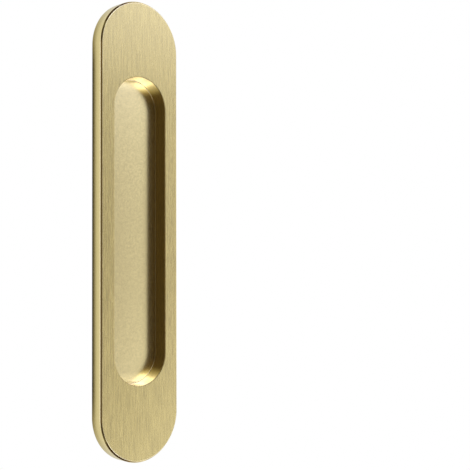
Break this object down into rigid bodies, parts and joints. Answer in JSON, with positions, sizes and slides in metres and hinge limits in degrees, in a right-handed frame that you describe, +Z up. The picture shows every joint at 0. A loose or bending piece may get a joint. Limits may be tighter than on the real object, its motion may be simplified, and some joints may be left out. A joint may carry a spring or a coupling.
{
  "type": "adhesive sliding door pull",
  "caption": "Upright stadium-shaped finger pull with a long sunk recess and a bevelled brushed face, stuck flat on a sliding door by foam tape.",
  "frame": {"origin": "centre of the foam tape's back face, where it meets the door", "axes": "+Z up along the length, +Y into the door, +X across the width; the face looks along -Y"},
  "size_m": [0.031, 0.0065, 0.15],
  "materials": {
    "brass_finish": "brushed along the length on the face, polished bevel and recess wall, fine matt recess floor",
    "adhesive_foam": "matt closed-cell foam with a tacky skin"
  },
  "bodies": {
    "root": {"pull_body": "brass_finish", "foam_tape": "adhesive_foam"}
  },
  "joints": []
}
